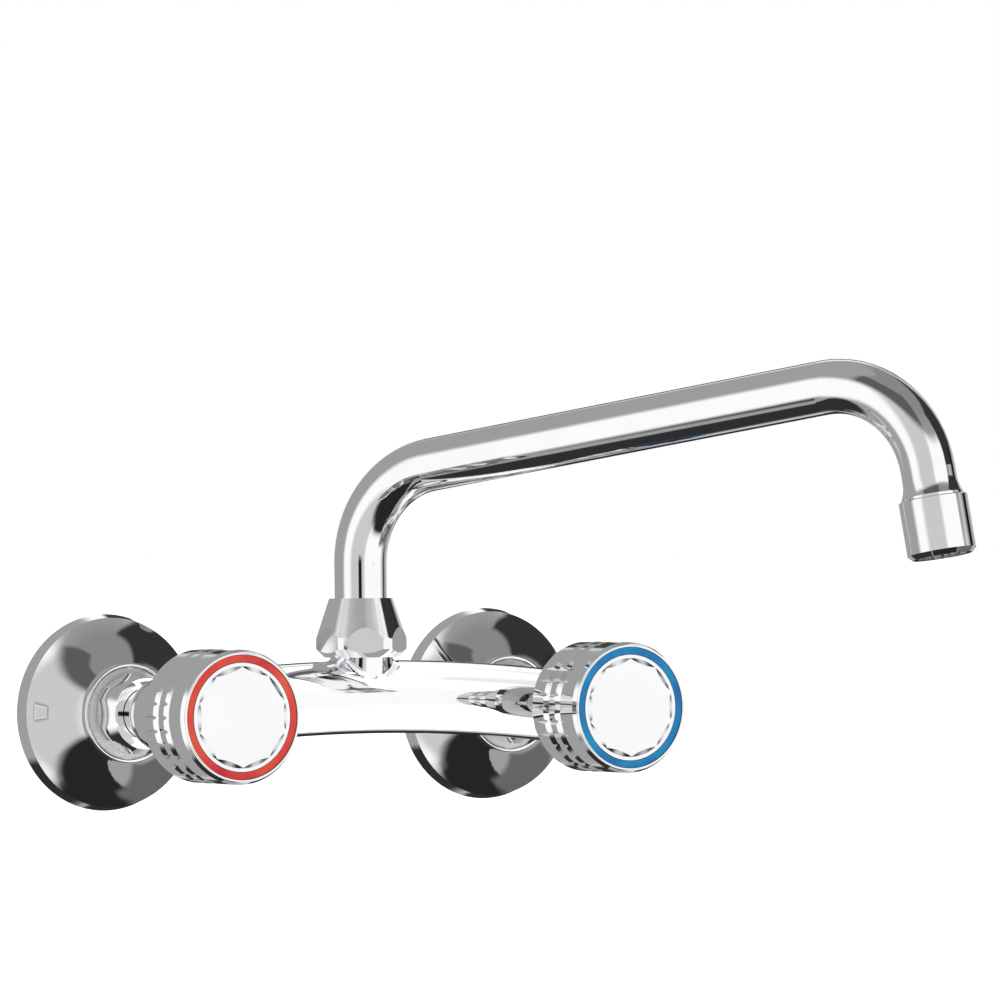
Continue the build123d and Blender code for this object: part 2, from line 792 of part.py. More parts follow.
def aerator_screen():
    disc = ring(0, aerator_bore - cap_clearance, insert_end - screen_thickness, insert_end)
    rows = int(aerator_mouth / screen_pitch)
    holes = []
    for row in range(-rows, rows + 1):
        for column in range(-rows, rows + 1):
            place = Vector(column * screen_pitch, row * screen_pitch, insert_end)
            if (place.X**2 + place.Y**2) ** 0.5 < aerator_mouth - screen_pitch:
                holes.append(Pos(place) * Box(2 * screen_hole, 2 * screen_hole, 4 * screen_thickness))
    return disc - holes


def save(node, shape):
    solids = shape if isinstance(shape, list) else shape.solids()
    result = solids[0] if len(solids) == 1 else Compound(children=list(solids))
    export_step(result, f"parts/{node}.step")


valve_pieces = {
    "wall_union": wall_union,
    "inlet_washer": inlet_washer,
    "union_nut": union_nut,
    "escutcheon": escutcheon,
    "escutcheon_grommet": escutcheon_grommet,
    "bonnet": bonnet,
    "bonnet_seal": bonnet_seal,
    "spindle": spindle,
    "spindle_o_rings": spindle_o_rings,
    "spindle_circlip": spindle_circlip,
    "piston": piston,
    "seat_washer": seat_washer,
    "washer_screw": washer_screw,
    "knob": knob,
    "knob_insert": knob_insert,
    "index_ring": index_ring,
    "knob_cap": knob_cap,
    "knob_screw": knob_screw,
}

spout_pieces = {
    "spout_spigot": spout_spigot,
    "spout_o_rings": spout_o_rings,
    "spout_retaining_ring": retaining_ring,
    "spout_tube": spout_tube,
}

outlet_pieces = {
    "outlet_nipple": outlet_nipple,
    "aerator_housing": aerator_housing,
    "aerator_seal": aerator_seal,
    "aerator_insert": aerator_insert,
    "aerator_screen": aerator_screen,
}


def placed(location, shape):
    if isinstance(shape, list):
        return [location * piece for piece in shape]
    return location * shape


os.makedirs("parts", exist_ok=True)
save("body", body())
save("spout_nut", spout_place * spout_nut())
for name, make in valve_pieces.items():
    shape = make()
    for side, supply in ((-1, "hot"), (1, "cold")):
        save(f"{supply}_{name}", placed(valve_place(side), shape))
swung = spout_place * Rot(0, 0, spout_swing - 90)
for name, make in spout_pieces.items():
    save(name, placed(swung, make()))
path_end = spout_path() @ 1
outlet_place = swung * Pos(path_end) * Rot(0, 180 - outlet_lean, 0)
for name, make in outlet_pieces.items():
    save(name, placed(outlet_place, make()))
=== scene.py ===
import bpy
from math import cos, pi, radians, sin
from mathutils import Matrix, Vector


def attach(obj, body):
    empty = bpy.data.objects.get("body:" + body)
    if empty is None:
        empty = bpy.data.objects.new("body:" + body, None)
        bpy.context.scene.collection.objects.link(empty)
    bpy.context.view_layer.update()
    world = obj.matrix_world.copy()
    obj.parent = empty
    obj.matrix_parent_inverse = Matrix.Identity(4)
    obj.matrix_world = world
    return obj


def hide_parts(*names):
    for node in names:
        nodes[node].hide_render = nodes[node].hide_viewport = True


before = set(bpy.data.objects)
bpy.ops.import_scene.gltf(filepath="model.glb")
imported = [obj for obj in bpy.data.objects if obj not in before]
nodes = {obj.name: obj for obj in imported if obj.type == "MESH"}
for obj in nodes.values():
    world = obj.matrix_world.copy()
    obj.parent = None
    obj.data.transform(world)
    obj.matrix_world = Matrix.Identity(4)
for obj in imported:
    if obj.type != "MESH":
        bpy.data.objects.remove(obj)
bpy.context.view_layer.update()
scene = bpy.context.scene


def mm(value):
    return value / 1000.0


# how far each inlet stands from the middle, in metres
inletSides = (("hot", -0.075), ("cold", 0.075))

# where the camera stands, looking level across the mixer from the hot side
cameraSet = {
    "turn": -30.614,
    "lift": -0.313,
    "roll": -0.6,
    "aim": (82.461, 0.0, 71.465),
    "distance": 2433.155,
    "lens": 248.345,
    "sensor": 36.0,
    "near": 0.05,
    "far": 400.0,
}


def cameraAxes(turn, lift, roll):
    back = Vector((sin(turn) * cos(lift), -cos(turn) * cos(lift), sin(lift)))
    level = Vector((cos(turn), sin(turn), 0.0))
    rise = back.cross(level)
    right = level * cos(roll) + rise * sin(roll)
    up = rise * cos(roll) - level * sin(roll)
    return right, up, back


def makeCamera():
    angles = [radians(cameraSet[name]) for name in ("turn", "lift", "roll")]
    right, up, back = cameraAxes(*angles)
    place = Vector([mm(value) for value in cameraSet["aim"]]) + back * mm(cameraSet["distance"])
    data = bpy.data.cameras.new("productCamera")
    data.lens = cameraSet["lens"]
    data.sensor_width = cameraSet["sensor"]
    data.clip_start = cameraSet["near"]
    data.clip_end = cameraSet["far"]
    camera = bpy.data.objects.new("productCamera", data)
    camera.matrix_world = Matrix.Translation(place) @ Matrix((right, up, back)).transposed().to_4x4()
    scene.collection.objects.link(camera)
    scene.camera = camera
    return right, back


cameraRight, cameraBack = makeCamera()
print("camera placed")


# small helpers for node trees
def addNode(tree, kind, place=(0, 0), **settings):
    node = tree.nodes.new(kind)
    node.location = place
    for name, value in settings.items():
        setattr(node, name, value)
    return node


def socketFor(node, key):
    if isinstance(key, str):
        return next(socket for socket in node.inputs if socket.name == key and socket.enabled)
    return node.inputs[key]


def feed(tree, node, values):
    for key, value in values.items():
        target = socketFor(node, key)
        if isinstance(value, bpy.types.NodeSocket):
            tree.links.new(value, target)
        else:
            target.default_value = value


def maths(tree, operation, first, second=0.0, third=None):
    node = addNode(tree, "ShaderNodeMath", operation=operation)
    feed(tree, node, {0: first, 1: second})
    if third is not None:
        feed(tree, node, {2: third})
    return node.outputs[0]


def smoothStep(tree, value, low, high):
    node = addNode(tree, "ShaderNodeMapRange", interpolation_type="SMOOTHSTEP", clamp=True)
    feed(tree, node, {"Value": value, "From Min": low, "From Max": high, "To Min": 0.0, "To Max": 1.0})
    return node.outputs["Result"]


def mixColour(tree, factor, first, second):
    node = addNode(tree, "ShaderNodeMix", data_type="RGBA")
    node.clamp_factor = True
    feed(tree, node, {0: factor, 6: first, 7: second})
    return node.outputs[2]


# studio round the mixer: azimuth 0 is towards the camera, positive to its right, in degrees
studioSet = {
    "facing": 120.614,
    "backdrop": (1.0, 1.0, 1.0),
    "dome": 0.36,
    "blueShare": 1.005,
    "panels": (
        # azimuth, half width, elevation, half height, softness, brightness
        ("ceiling", 60, 110, 75, 32, 14, 0.26),
        ("leftWall", -115, 38, 0, 75, 12, 0.36),
        ("floorDark", 15, 80, -66, 31, 3, 0.02),
        ("floorLeft", -125, 50, -60, 25, 3, 0.03),
        ("upperGrey", -14, 40, 48, 19, 3, 0.11),
        ("middleGrey", -15, 42, 0, 37, 7, 0.62),
        ("leftBox", -60, 17, -3, 34, 8, 1.04),
        ("rightBox", 60, 42, 0, 33, 6, 1.04),
        ("blackSlot", -1, 7, 0, 5, 2, 0.012),
        ("rightShade", 116, 36, 32, 19, 3, 0.035),
        ("lowRight", 114, 34, -36, 17, 4, 0.14),
        ("rightSlot", 121, 9, 0, 17, 3, 0.01),
        ("backRight", 168, 22, -5, 45, 10, 0.62),
        ("backLeft", 180, 11, 0, 38, 4, 1.04),
        ("edgeHigh", 176, 14, 18, 9, 2, 0.05),
        ("edgeLow", 174, 16, -22, 17, 3, 0.03),
    ),
}


def studioPanelGroup():
    group = bpy.data.node_groups.new("studioPanel", "ShaderNodeTree")
    names = (
        "Azimuth",
        "Elevation",
        "AzimuthCentre",
        "HalfWidth",
        "ElevationCentre",
        "HalfHeight",
        "Softness",
    )
    for name in names:
        group.interface.new_socket(name, in_out="INPUT", socket_type="NodeSocketFloat")
    group.interface.new_socket("Mask", in_out="OUTPUT", socket_type="NodeSocketFloat")
    start = addNode(group, "NodeGroupInput", (-900, 0))
    end = addNode(group, "NodeGroupOutput", (700, 0))
    given = start.outputs
    turn = maths(group, "SUBTRACT", given["Azimuth"], given["AzimuthCentre"])
    across = maths(group, "WRAP", turn, 180.0, -180.0)
    above = maths(group, "SUBTRACT", given["Elevation"], given["ElevationCentre"])
    masks = []
    for offset, half in ((across, given["HalfWidth"]), (above, given["HalfHeight"])):
        reach = maths(group, "ABSOLUTE", offset)
        outside = maths(group, "ADD", half, given["Softness"])
        inside = maths(group, "SUBTRACT", half, given["Softness"])
        covered = smoothStep(group, reach, inside, outside)
        masks.append(maths(group, "SUBTRACT", 1.0, covered))
    group.links.new(maths(group, "MULTIPLY", masks[0], masks[1]), end.inputs["Mask"])
    return group


def makeStudio():
    world = bpy.data.worlds.new("studio")
    scene.world = world
    world.use_nodes = True
    tree = world.node_tree
    tree.nodes.clear()
    direction = addNode(tree, "ShaderNodeTexCoord").outputs["Generated"]
    turned = addNode(tree, "ShaderNodeVectorRotate", rotation_type="Z_AXIS")
    feed(tree, turned, {"Vector": direction, "Angle": radians(studioSet["facing"])})
    axes = addNode(tree, "ShaderNodeSeparateXYZ")
    feed(tree, axes, {0: turned.outputs[0]})
    azimuth = maths(tree, "DEGREES", maths(tree, "ARCTAN2", axes.outputs["Y"], axes.outputs["X"]))
    elevation = maths(tree, "DEGREES", maths(tree, "ARCSINE", axes.outputs["Z"]))
    group = studioPanelGroup()
    dome = studioSet["dome"]
    colour = (dome, dome, dome, 1.0)
    for name, centre, width, height, tall, soft, glow in studioSet["panels"]:
        panel = addNode(tree, "ShaderNodeGroup", node_tree=group, name=name)
        feed(tree, panel, {
            "Azimuth": azimuth,
            "Elevation": elevation,
            "AzimuthCentre": float(centre),
            "HalfWidth": float(width),
            "ElevationCentre": float(height),
            "HalfHeight": float(tall),
            "Softness": float(soft),
        })
        tint = (glow, glow, glow * studioSet["blueShare"], 1.0)
        colour = mixColour(tree, panel.outputs["Mask"], colour, tint)
    seen = addNode(tree, "ShaderNodeLightPath").outputs["Is Camera Ray"]
    colour = mixColour(tree, seen, colour, (*studioSet["backdrop"], 1.0))
    background = addNode(tree, "ShaderNodeBackground")
    feed(tree, background, {"Color": colour, "Strength": 1.0})
    output = addNode(tree, "ShaderNodeOutputWorld")
    tree.links.new(background.outputs[0], output.inputs["Surface"])


makeStudio()
scene.view_settings.view_transform = "Standard"
print("studio lit")


floorSet = {
    "height": -0.30,
    "size": 160.0,
    "light": (0.9, 0.9, 0.9, 1.0),
    "dark": (0.88, 0.88, 0.88, 1.0),
    "grainScale": 3.0,
    "roughness": 0.8,
    "glow": 1.0,
}


def makeFloor():
    half = floorSet["size"] / 2
    height = floorSet["height"]
    mesh = bpy.data.meshes.new("studioFloor")
    corners = [(-half, -half, height), (half, -half, height), (half, half, height), (-half, half, height)]
    mesh.from_pydata(corners, [], [(0, 1, 2, 3)])
    floor = bpy.data.objects.new("studioFloor", mesh)
    scene.collection.objects.link(floor)
    material = bpy.data.materials.new("paleFloor")
    material.use_nodes = True
    tree = material.node_tree
    shader = tree.nodes["Principled BSDF"]
    grain = addNode(tree, "ShaderNodeTexNoise")
    place = addNode(tree, "ShaderNodeTexCoord").outputs["Object"]
    feed(tree, grain, {"Vector": place, "Scale": floorSet["grainScale"]})
    tone = mixColour(tree, grain.outputs["Fac"], floorSet["dark"], floorSet["light"])
    feed(tree, shader, {"Base Color": tone, "Roughness": floorSet["roughness"]})
    feed(tree, shader, {"Emission Color": (1.0, 1.0, 1.0, 1.0), "Emission Strength": floorSet["glow"]})
    mesh.materials.append(material)
    floor.visible_glossy = False


makeFloor()
print("floor laid")


# soft cards: four that only the casting sees, round its cross tube, and one for the wall covers
cardSet = {
    "casting": (
        # azimuth, elevation, width, height, distance, brightness
        ("cardHigh", 110, 40, 1.8, 1.06, 1.0, 0.85),
        ("cardLow", 103, -42, 1.6, 1.0, 1.0, 0.85),
        ("cardFrontLow", 10, -62, 2.4, 1.0, 1.0, 0.7),
        ("cardFrontHigh", 0, 58, 2.0, 1.0, 1.0, 0.7),
    ),
    "covers": (("cardFront", -1, 0, 4.6, 3.2, 20.0, 0.6),),
}


def makeCards(name, lit):
    receivers = bpy.data.collections.new(f"{name}Cards")
    for node in lit:
        receivers.objects.link(nodes[node])
    level = Vector((cameraRight.x, cameraRight.y, 0.0)).normalized()
    front = Vector((cameraBack.x, cameraBack.y, 0.0)).normalized()
    for label, azimuth, elevation, width, height, distance, brightness in cardSet[name]:
        turn, rise = radians(azimuth), radians(elevation)
        flat = front * cos(turn) + level * sin(turn)
        towards = flat * cos(rise) + Vector((0.0, 0.0, sin(rise)))
        data = bpy.data.lights.new(label, "AREA")
        data.shape = "RECTANGLE"
        data.size = width
        data.size_y = height
        # a card's brightness is its power over pi times its area
        data.energy = pi * width * height * brightness
        lamp = bpy.data.objects.new(label, data)
        place = Matrix.Translation(towards * distance)
        lamp.matrix_world = place @ towards.to_track_quat("Z", "Y").to_matrix().to_4x4()
        lamp.visible_camera = False
        lamp.light_linking.receiver_collection = receivers
        scene.collection.objects.link(lamp)


makeCards("casting", ["body"])
makeCards("covers", ["hot_escutcheon", "cold_escutcheon"])
print("cards hung")


def newGroup(name, inputs, outputs):
    group = bpy.data.node_groups.new(name, "ShaderNodeTree")
    for label, kind, value in inputs:
        socket = group.interface.new_socket(label, in_out="INPUT", socket_type=kind)
        if value is not None:
            socket.default_value = value
    for label, kind in outputs:
        group.interface.new_socket(label, in_out="OUTPUT", socket_type=kind)
    start = addNode(group, "NodeGroupInput", (-900, 0))
    end = addNode(group, "NodeGroupOutput", (900, 0))
    return group, start.outputs, end.inputs


def noiseOf(tree, vector, scale, detail=3.0, rough=0.5):
    node = addNode(tree, "ShaderNodeTexNoise", noise_type="FBM")
    feed(tree, node, {"Vector": vector, "Scale": scale, "Detail": detail, "Roughness": rough})
    return node.outputs["Fac"]


def ranged(tree, value, low, high):
    node = addNode(tree, "ShaderNodeMapRange", clamp=True)
    feed(tree, node, {"Value": value, "From Min": low, "From Max": high, "To Min": 0.0, "To Max": 1.0})
    return node.outputs["Result"]


handlingSet = {
    "smearScale": 38.0,
    "smearRange": (0.45, 0.78),
    "speckScale": 420.0,
    "speckEdge": (0.05, 0.13),
    "patchScale": 190.0,
    "patchAbove": 0.66,
    "hairlineTurn": (0.4, 0.9, 0.3),
    "hairlineStretch": (1.0, 14.0, 1.0),
    "hairlineScale": 520.0,
    "hairlineRange": (0.62, 0.8),
}


# smears, hairline scratches and dust that every handled surface carries
def handlingGroup():
    inputs = (
        ("Vector", "NodeSocketVector", None),
        ("Smears", "NodeSocketFloat", 0.5),
        ("Dust", "NodeSocketFloat", 0.5),
    )
    outputs = (("Film", "NodeSocketFloat"), ("Specks", "NodeSocketFloat"), ("Hairlines", "NodeSocketFloat"))
    group, given, result = newGroup("handling", inputs, outputs)
    broad = noiseOf(group, given["Vector"], handlingSet["smearScale"], 4.0, 0.6)
    film = ranged(group, broad, *handlingSet["smearRange"])
    group.links.new(maths(group, "MULTIPLY", film, given["Smears"]), result["Film"])
    cells = addNode(group, "ShaderNodeTexVoronoi")
    feed(group, cells, {"Vector": given["Vector"], "Scale": handlingSet["speckScale"], "Randomness": 1.0})
    outside = smoothStep(group, cells.outputs["Distance"], *handlingSet["speckEdge"])
    near = maths(group, "SUBTRACT", 1.0, outside)
    patches = noiseOf(group, given["Vector"], handlingSet["patchScale"], 1.0)
    picked = maths(group, "GREATER_THAN", patches, handlingSet["patchAbove"])
    specks = maths(group, "MULTIPLY", maths(group, "MULTIPLY", near, picked), given["Dust"])
    group.links.new(specks, result["Specks"])
    stretched = addNode(group, "ShaderNodeMapping")
    feed(group, stretched, {
        "Vector": given["Vector"],
        "Rotation": handlingSet["hairlineTurn"],
        "Scale": handlingSet["hairlineStretch"],
    })
    lines = noiseOf(group, stretched.outputs[0], handlingSet["hairlineScale"], 2.0)
    group.links.new(ranged(group, lines, *handlingSet["hairlineRange"]), result["Hairlines"])
    return group


turnedSet = {"pitch": 0.00016, "streakShare": 0.13}


# fine rings left by a lathe round the Y axis of the vector it is given
def turnedGroup():
    inputs = (
        ("Vector", "NodeSocketVector", None),
        ("Pitch", "NodeSocketFloat", turnedSet["pitch"]),
    )
    outputs = (("Lines", "NodeSocketFloat"), ("Streaks", "NodeSocketFloat"))
    group, given, result = newGroup("turnedLines", inputs, outputs)
    axes = addNode(group, "ShaderNodeSeparateXYZ")
    feed(group, axes, {0: given["Vector"]})
    across = maths(group, "POWER", axes.outputs["X"], 2.0)
    high = maths(group, "POWER", axes.outputs["Z"], 2.0)
    radius = maths(group, "SQRT", maths(group, "ADD", across, high))
    travel = maths(group, "DIVIDE", maths(group, "ADD", radius, axes.outputs["Y"]), given["Pitch"])
    level = addNode(group, "ShaderNodeCombineXYZ")
    feed(group, level, {0: travel})
    group.links.new(noiseOf(group, level.outputs[0], 1.0, 2.0), result["Lines"])
    slow = addNode(group, "ShaderNodeCombineXYZ")
    feed(group, slow, {0: maths(group, "MULTIPLY", travel, turnedSet["streakShare"])})
    group.links.new(noiseOf(group, slow.outputs[0], 1.0, 3.0), result["Streaks"])
    return group


handling = handlingGroup()
turned = turnedGroup()


def newMaterial(name):
    material = bpy.data.materials.new(name)
    material.use_nodes = True
    tree = material.node_tree
    shader = tree.nodes["Principled BSDF"]
    place = addNode(tree, "ShaderNodeTexCoord", (-1400, 0)).outputs["Object"]
    return material, tree, shader, place


def useGroup(tree, group, values):
    node = addNode(tree, "ShaderNodeGroup", node_tree=group)
    feed(tree, node, values)
    return node.outputs


chromeSet = {
    "bright": (0.93, 0.935, 0.945, 1.0),
    "dull": (0.86, 0.865, 0.875, 1.0),
    "speck": (0.35, 0.35, 0.36, 1.0),
    "filmRough": 0.05,
    "hairlineRough": 0.02,
    "speckRough": 0.4,
    "ripple": 0.06,
    "waveScale": 55.0,
    "peel": 0.010,
    "peelScale": 900.0,
    "relief": 0.001,
    "kinds": {
        # smears, dust, share of the ripple, roughness
        "casting": (0.6, 0.4, 1.0, 0.035),
        "tube": (0.5, 0.3, 0.5, 0.035),
        "spun": (0.5, 1.0, 0.5, 0.035),
        "turned": (0.5, 0.3, 0.4, 0.035),
        "pressed": (0.5, 0.3, 0.4, 0.17),
    },
}


def chromeMaterial(kind, smears, dust, share, polish):
    material, tree, shader, place = newMaterial(f"chrome{kind.capitalize()}")
    marks = useGroup(tree, handling, {"Vector": place, "Smears": smears, "Dust": dust})
    tone = mixColour(tree, marks["Film"], chromeSet["bright"], chromeSet["dull"])
    tone = mixColour(tree, marks["Specks"], tone, chromeSet["speck"])
    rough = maths(tree, "MULTIPLY_ADD", marks["Film"], chromeSet["filmRough"], polish)
    rough = maths(tree, "MULTIPLY_ADD", marks["Hairlines"], chromeSet["hairlineRough"], rough)
    rough = maths(tree, "MULTIPLY_ADD", marks["Specks"], chromeSet["speckRough"], rough)
    wave = noiseOf(tree, place, chromeSet["waveScale"], 1.0)
    peel = noiseOf(tree, place, chromeSet["peelScale"], 2.0)
    height = maths(tree, "MULTIPLY_ADD", peel, chromeSet["peel"], wave)
    bump = addNode(tree, "ShaderNodeBump")
    ripple = chromeSet["ripple"] * share
    feed(tree, bump, {"Strength": ripple, "Distance": chromeSet["relief"], "Height": height})
    feed(tree, shader, {"Base Color": tone, "Metallic": 1.0, "Roughness": rough, "Normal": bump.outputs[0]})
    return material


chromes = {kind: chromeMaterial(kind, *values) for kind, values in chromeSet["kinds"].items()}


def setMaterial(node, material):
    slots = nodes[node].data.materials
    for index in range(len(slots)):
        slots[index] = material


finishOf = {
    "body": "casting",
    "spout_nut": "turned",
    "spout_tube": "tube",
    "outlet_nipple": "turned",
    "aerator_housing": "turned",
}
pairFinishes = {
    "escutcheon": "spun",
    "union_nut": "turned",
    "knob": "turned",
    "knob_cap": "pressed",
    "bonnet": "turned",
}
for supply in ("hot", "cold"):
    for name, finish in pairFinishes.items():
        finishOf[f"{supply}_{name}"] = finish
for node, finish in finishOf.items():
    setMaterial(node, chromes[finish])
print("chrome polished")

plasticSet = {
    "red": ((0.80, 0.10, 0.05, 1.0), (0.60, 0.018, 0.03, 1.0)),
    "blue": ((0.008, 0.29, 0.58, 1.0), (0.008, 0.13, 0.40, 1.0)),
    # painted shade: the dark tone the ring takes near its inner and outer edges, where it meets the recess
    # walls
    "edge": (0.05, 0.045, 0.045, 1.0),
    "middle": 19.35,
    "reach": (1.0, 1.35),
    "handling": {"Smears": 0.6, "Dust": 0.6},
    "cloudScale": 90.0,
    "cloudRange": (0.3, 0.75),
    "roughness": 0.34,
    "filmRough": 0.15,
    "grainScale": 1600.0,
    "grain": {"Strength": 0.05, "Distance": 0.0005},
    "specular": 0.22,
}
ringColours = {"hot": "red", "cold": "blue"}


def glossPlastic(name, tones, side):
    material, tree, shader, place = newMaterial(name)
    marks = useGroup(tree, handling, {"Vector": place, **plasticSet["handling"]})
    cloud = noiseOf(tree, place, plasticSet["cloudScale"])
    tone = mixColour(tree, ranged(tree, cloud, *plasticSet["cloudRange"]), tones[0], tones[1])
    axes = addNode(tree, "ShaderNodeSeparateXYZ")
    feed(tree, axes, {0: place})
    # painted shade: the tone darkens towards the ring's inner and outer edges, by distance from its middle
    # radius
    across = maths(tree, "POWER", maths(tree, "SUBTRACT", axes.outputs["X"], side), 2.0)
    radius = maths(tree, "SQRT", maths(tree, "ADD", across, maths(tree, "POWER", axes.outputs["Z"], 2.0)))
    low, high = [mm(value) for value in plasticSet["reach"]]
    offset = maths(tree, "ABSOLUTE", maths(tree, "SUBTRACT", radius, mm(plasticSet["middle"])))
    tone = mixColour(tree, smoothStep(tree, offset, low, high), tone, plasticSet["edge"])
    rough = maths(tree, "MULTIPLY_ADD", marks["Film"], plasticSet["filmRough"], plasticSet["roughness"])
    bump = addNode(tree, "ShaderNodeBump")
    grain = noiseOf(tree, place, plasticSet["grainScale"], 2.0)
    feed(tree, bump, {**plasticSet["grain"], "Height": grain})
    feed(tree, shader, {"Base Color": tone, "Roughness": rough, "Normal": bump.outputs[0]})
    feed(tree, shader, {"Specular IOR Level": plasticSet["specular"]})
    return material


for supply, side in inletSides:
    colour = ringColours[supply]
    setMaterial(f"{supply}_index_ring", glossPlastic(f"{colour}Plastic", plasticSet[colour], side))
print("rings coloured")

plainSet = {
    # light tone, dark tone, roughness, metallic
    "brass": ((0.78, 0.60, 0.32, 1.0), (0.60, 0.42, 0.20, 1.0), 0.22, 1.0),
    "steel": ((0.62, 0.63, 0.65, 1.0), (0.48, 0.49, 0.51, 1.0), 0.28, 1.0),
    "rubber": ((0.018, 0.018, 0.019, 1.0), (0.05, 0.05, 0.052, 1.0), 0.62, 0.0),
    "fibre": ((0.30, 0.29, 0.27, 1.0), (0.20, 0.19, 0.18, 1.0), 0.85, 0.0),
    "acetal": ((0.80, 0.81, 0.82, 1.0), (0.68, 0.69, 0.70, 1.0), 0.26, 0.0),
}
grainSet = {
    "handling": {"Smears": 0.7, "Dust": 0.5},
    "grainScale": 2400.0,
    "cloudScale": 160.0,
    "cloudRange": (0.3, 0.7),
    "filmRough": 0.15,
    "grain": {"Strength": 0.25, "Distance": 0.0002},
}


def plainMaterial(name, centre, isTurned):
    light, dark, polish, metal = plainSet[name]
    kind = "Turned" if isTurned else "Plain"
    material, tree, shader, place = newMaterial(f"{name}{kind}{int(centre * 1000)}")
    marks = useGroup(tree, handling, {"Vector": place, **grainSet["handling"]})
    if isTurned:
        shift = addNode(tree, "ShaderNodeMapping")
        feed(tree, shift, {"Vector": place, "Location": (-centre, 0.0, 0.0)})
        cut = useGroup(tree, turned, {"Vector": shift.outputs[0], "Pitch": turnedSet["pitch"]})
        grain, cloud = cut["Lines"], cut["Streaks"]
    else:
        grain = noiseOf(tree, place, grainSet["grainScale"], 4.0)
        cloud = noiseOf(tree, place, grainSet["cloudScale"], 4.0)
    tone = mixColour(tree, ranged(tree, cloud, *grainSet["cloudRange"]), light, dark)
    rough = maths(tree, "MULTIPLY_ADD", marks["Film"], grainSet["filmRough"], polish)
    bump = addNode(tree, "ShaderNodeBump")
    feed(tree, bump, {**grainSet["grain"], "Height": grain})
    feed(tree, shader, {"Base Color": tone, "Roughness": rough})
    feed(tree, shader, {"Metallic": metal, "Normal": bump.outputs[0]})
    return material


plainOf = {
    "brass": ("spindle", "piston", "washer_screw"),
    "steel": ("spindle_circlip", "knob_screw"),
    "rubber": ("spindle_o_rings", "seat_washer"),
    "fibre": ("inlet_washer", "bonnet_seal"),
    "acetal": ("knob_insert", "escutcheon_grommet"),
}
for supply, side in inletSides:
    for finish, names in plainOf.items():
        material = plainMaterial(finish, side, finish in ("brass", "steel"))
        for name in names:
            setMaterial(f"{supply}_{name}", material)
for name, finish in (
    ("spout_spigot", "brass"),
    ("spout_o_rings", "rubber"),
    ("aerator_seal", "rubber"),
    ("spout_retaining_ring", "acetal"),
    ("aerator_insert", "acetal"),
    ("aerator_screen", "steel"),
):
    setMaterial(name, plainMaterial(finish, 0.0, False))
print("hidden pieces finished")


# wall unions: a turned core, with G1/2 threads wound on both ends by Geometry Nodes
unionSet = {
    "radius": 10.478,
    "shaft": 10.0,
    "bore": 6.0,
    "pitch": 1.814,
    "depth": 1.162,
    "flats": 10.0,
    "zones": ((-15.0, 0.0), (19.2, 25.2)),
    "flatsZone": (0.0, 5.0),
    "around": 96,
    "steps": 12,
    "fadePerTurn": 1.6,
    "weld": 0.000002,
    "sharpAbove": 30.0,
}


def threadGroup():
    group = bpy.data.node_groups.new("pipeThread", "GeometryNodeTree")
    group.interface.new_socket("Geometry", in_out="INPUT", socket_type="NodeSocketGeometry")
    for label in ("Radius", "Depth", "Pitch", "Start", "Length"):
        group.interface.new_socket(label, in_out="INPUT", socket_type="NodeSocketFloat")
    for label in ("Around", "Along"):
        group.interface.new_socket(label, in_out="INPUT", socket_type="NodeSocketInt")
    group.interface.new_socket("Finish", in_out="INPUT", socket_type="NodeSocketMaterial")
    group.interface.new_socket("Geometry", in_out="OUTPUT", socket_type="NodeSocketGeometry")
    given = addNode(group, "NodeGroupInput", (-1200, 0)).outputs
    grid = addNode(group, "GeometryNodeMeshGrid")
    feed(group, grid, {"Size X": 1.0, "Size Y": 1.0})
    feed(group, grid, {"Vertices X": given["Around"], "Vertices Y": given["Along"]})
    axes = addNode(group, "ShaderNodeSeparateXYZ")
    feed(group, axes, {0: addNode(group, "GeometryNodeInputPosition").outputs[0]})
    share = maths(group, "ADD", axes.outputs["X"], 0.5)
    travel = maths(group, "MULTIPLY", maths(group, "ADD", axes.outputs["Y"], 0.5), given["Length"])
    turns = maths(group, "DIVIDE", travel, given["Pitch"])
    phase = maths(group, "FRACT", maths(group, "ADD", maths(group, "SUBTRACT", turns, share), 2.0))
    valley = maths(group, "ABSOLUTE", maths(group, "MULTIPLY_ADD", phase, 2.0, -1.0))
    back = maths(group, "DIVIDE", maths(group, "SUBTRACT", given["Length"], travel), given["Pitch"])
    nearest = maths(group, "MINIMUM", turns, back)
    ends = maths(group, "SUBTRACT", 1.0, maths(group, "MULTIPLY", nearest, unionSet["fadePerTurn"]))
    cut = maths(group, "MINIMUM", maths(group, "MAXIMUM", valley, ends), 1.0)
    radius = maths(group, "SUBTRACT", given["Radius"], maths(group, "MULTIPLY", cut, given["Depth"]))
    angle = maths(group, "MULTIPLY", share, radians(360.0))
    point = addNode(group, "ShaderNodeCombineXYZ")
    feed(group, point, {
        0: maths(group, "MULTIPLY", radius, maths(group, "COSINE", angle)),
        1: maths(group, "ADD", given["Start"], travel),
        2: maths(group, "MULTIPLY", radius, maths(group, "SINE", angle)),
    })
    wound = addNode(group, "GeometryNodeSetPosition")
    feed(group, wound, {"Geometry": grid.outputs["Mesh"], "Position": point.outputs[0]})
    closed = addNode(group, "GeometryNodeMergeByDistance")
    feed(group, closed, {"Geometry": wound.outputs[0], "Distance": unionSet["weld"]})
    joined = addNode(group, "GeometryNodeJoinGeometry")
    group.links.new(closed.outputs[0], joined.inputs[0])
    group.links.new(given["Geometry"], joined.inputs[0])
    real = addNode(group, "GeometryNodeRealizeInstances")
    group.links.new(joined.outputs[0], real.inputs[0])
    finished = addNode(group, "GeometryNodeSetMaterial")
    feed(group, finished, {"Geometry": real.outputs[0], "Material": given["Finish"]})
    end = addNode(group, "NodeGroupOutput", (1200, 0))
    group.links.new(finished.outputs[0], end.inputs[0])
    return group


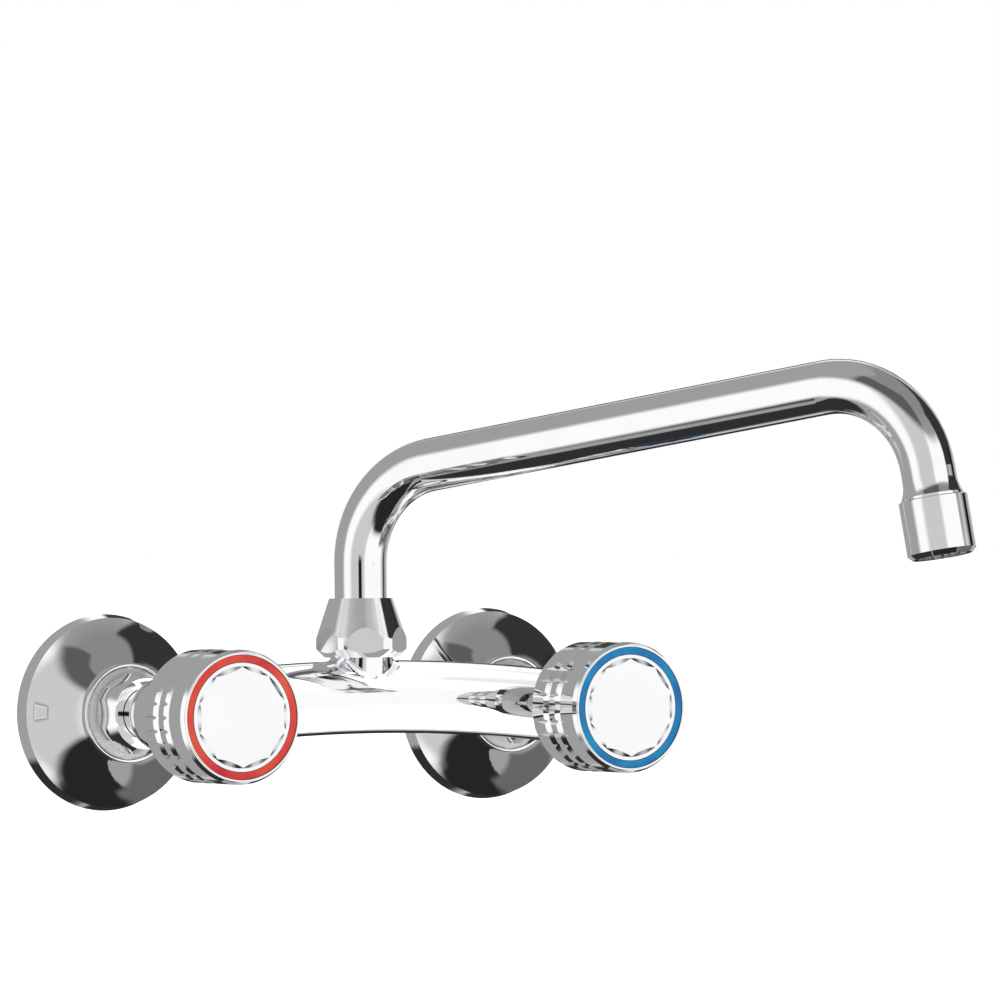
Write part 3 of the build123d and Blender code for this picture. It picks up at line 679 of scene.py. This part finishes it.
def unionRows():
    # distance from the wall, radius and whether it is hexagonal, from the back edge to the bore
    root = unionSet["radius"] - unionSet["depth"]
    (backStart, backEnd), (frontStart, frontEnd) = unionSet["zones"]
    shaft, bore = unionSet["shaft"], unionSet["bore"]
    flatsEnd = unionSet["flatsZone"][1]
    return (
        (backStart, bore, False),
        (backStart, root, False),
        (backEnd, root, False),
        (backEnd, shaft, True),
        (flatsEnd, shaft, True),
        (flatsEnd, shaft, False),
        (frontStart, shaft, False),
        (frontStart, root, False),
        (frontEnd, root, False),
        (frontEnd, bore, False),
    )


def unionCore(name):
    around = unionSet["around"]
    halfSide, wholeSide = radians(30.0), radians(60.0)
    points, faces = [], []
    rows = unionRows()
    for height, radius, isHexagon in rows:
        for step in range(around):
            angle = 2 * pi * step / around
            reach = radius
            if isHexagon:
                reach = unionSet["flats"] / cos((angle + halfSide) % wholeSide - halfSide)
            points.append((mm(reach * cos(angle)), -mm(height), mm(reach * sin(angle))))
    for row in range(len(rows)):
        for step in range(around):
            first, second = row * around, ((row + 1) % len(rows)) * around
            after = (step + 1) % around
            faces.append((first + step, first + after, second + after, second + step))
    mesh = bpy.data.meshes.new(name)
    mesh.from_pydata(points, [], faces)
    return mesh


def windThreads(piece, group, side, finish):
    pitch = mm(unionSet["pitch"])
    for start, stop in unionSet["zones"]:
        length = mm(stop - start)
        modifier = piece.modifiers.new("thread", "NODES")
        modifier.node_group = group
        items = group.interface.items_tree
        named = {item.name: item.identifier for item in items if item.in_out == "INPUT"}
        values = {
            "Radius": mm(unionSet["radius"]),
            "Depth": mm(unionSet["depth"]),
            "Pitch": pitch,
            "Start": -mm(stop),
            "Length": length,
            "Around": unionSet["around"] + 1,
            "Along": int(length / pitch * unionSet["steps"]) + 1,
            "Finish": finish,
        }
        for label, value in values.items():
            modifier[named[label]] = value


def makeUnion(supply, side, group):
    name = f"{supply}WallUnion"
    finish = plainMaterial("brass", side, True)
    draft = bpy.data.objects.new(f"{name}Draft", unionCore(f"{name}Core"))
    scene.collection.objects.link(draft)
    windThreads(draft, group, side, finish)
    bpy.context.view_layer.update()
    solid = bpy.data.meshes.new_from_object(draft.evaluated_get(bpy.context.evaluated_depsgraph_get()))
    bpy.data.objects.remove(draft, do_unlink=True)
    for vertex in solid.vertices:
        vertex.co.x += side
    solid.update()
    piece = bpy.data.objects.new(name, solid)
    scene.collection.objects.link(piece)
    solid.materials.clear()
    solid.materials.append(finish)
    solid.set_sharp_from_angle(angle=radians(unionSet["sharpAbove"]))
    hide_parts(f"{supply}_wall_union")
    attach(piece, "faucet_body")


def makeUnions():
    group = threadGroup()
    for supply, side in inletSides:
        makeUnion(supply, side, group)


makeUnions()
print("unions threaded")
